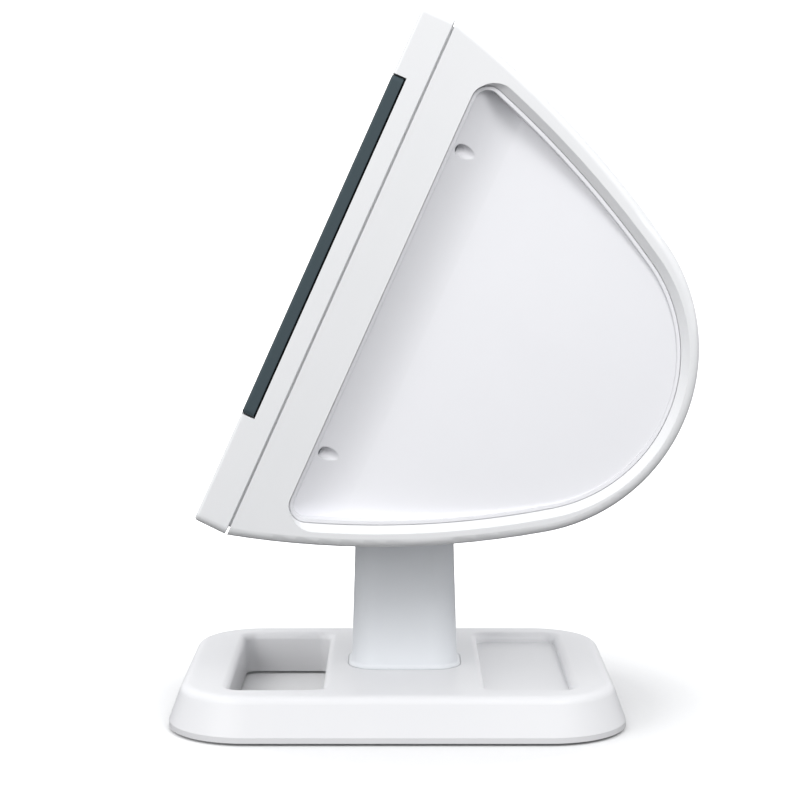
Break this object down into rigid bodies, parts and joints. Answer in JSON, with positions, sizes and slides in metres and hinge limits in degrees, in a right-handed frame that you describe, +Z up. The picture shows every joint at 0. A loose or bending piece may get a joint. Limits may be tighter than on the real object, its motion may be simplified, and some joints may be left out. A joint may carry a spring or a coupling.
{
  "type": "infrared heat lamp",
  "caption": "Free-standing infrared heat lamp: a deep curved head with a flat dark glass front tilts on an oval column over a flat foot with an opening and a tray.",
  "frame": {"origin": "on the table, under the middle of the whole lamp's box", "axes": "+Z up, -Y towards the person in front of the glass, +X to the right of someone facing the glass"},
  "size_m": [0.19, 0.2818, 0.3856],
  "materials": {
    "white_plastic": "satin",
    "grey_plastic": "satin",
    "black_plastic": "matte",
    "rubber": "matte",
    "plated_steel": "satin",
    "polished_aluminium": "polished",
    "dark_glass": "polished",
    "quartz": "polished",
    "carbon": "matte",
    "ceramic": "matte",
    "green_board": "satin"
  },
  "bodies": {
    "stand": {"base_shell": "white_plastic", "base_plate": "white_plastic", "ballast_plate": "plated_steel", "rubber_feet": "rubber", "base_screws": "plated_steel", "cord_bush": "black_plastic", "column": "white_plastic", "column_screws": "plated_steel", "friction_washers": "rubber"},
    "head": {"hinge_bracket": "plated_steel", "hinge_pin": "plated_steel", "hinge_nut": "plated_steel", "bracket_screws": "plated_steel", "rear_housing": "white_plastic", "left_cheek": "white_plastic", "right_cheek": "white_plastic", "front_frame": "white_plastic", "frame_screws": "plated_steel", "glass_pane": "dark_glass", "pane_seal": "rubber", "heat_shield": "plated_steel", "shield_screws": "plated_steel", "reflector": "polished_aluminium", "quartz_tubes": "quartz", "filaments": "carbon", "tube_holders": "ceramic", "thermal_cutout": "ceramic", "terminal_block": "ceramic", "fan_spacers": "plated_steel", "fan_frame": "black_plastic", "control_board": "green_board", "tact_switches": "black_plastic", "display_module": "black_plastic", "display_window": "dark_glass"},
    "fan": {"fan_rotor": "black_plastic"},
    "power": {"power_button": "grey_plastic"},
    "minus": {"minus_button": "grey_plastic"},
    "plus": {"plus_button": "grey_plastic"}
  },
  "joints": [
    {"name": "head_tilt", "type": "hinge", "parent": "stand", "child": "head", "pos_m": [0, -0.01194, 0.14], "axis": [-1, 0, 0], "range_deg": [-24.3, 15.7]},
    {"name": "fan_spin", "type": "hinge", "parent": "head", "child": "fan", "pos_m": [0, 0.02691, 0.22604], "axis": [0, 0.9114, -0.4115], "continuous": true},
    {"name": "power_press", "type": "slide", "parent": "head", "child": "power", "axis": [0, 0.9114, -0.4115], "range_m": [0, 0.001], "stiffness_N_per_m": 1000},
    {"name": "minus_press", "type": "slide", "parent": "head", "child": "minus", "axis": [0, 0.9114, -0.4115], "range_m": [0, 0.001], "stiffness_N_per_m": 1000},
    {"name": "plus_press", "type": "slide", "parent": "head", "child": "plus", "axis": [0, 0.9114, -0.4115], "range_m": [0, 0.001], "stiffness_N_per_m": 1000}
  ]
}
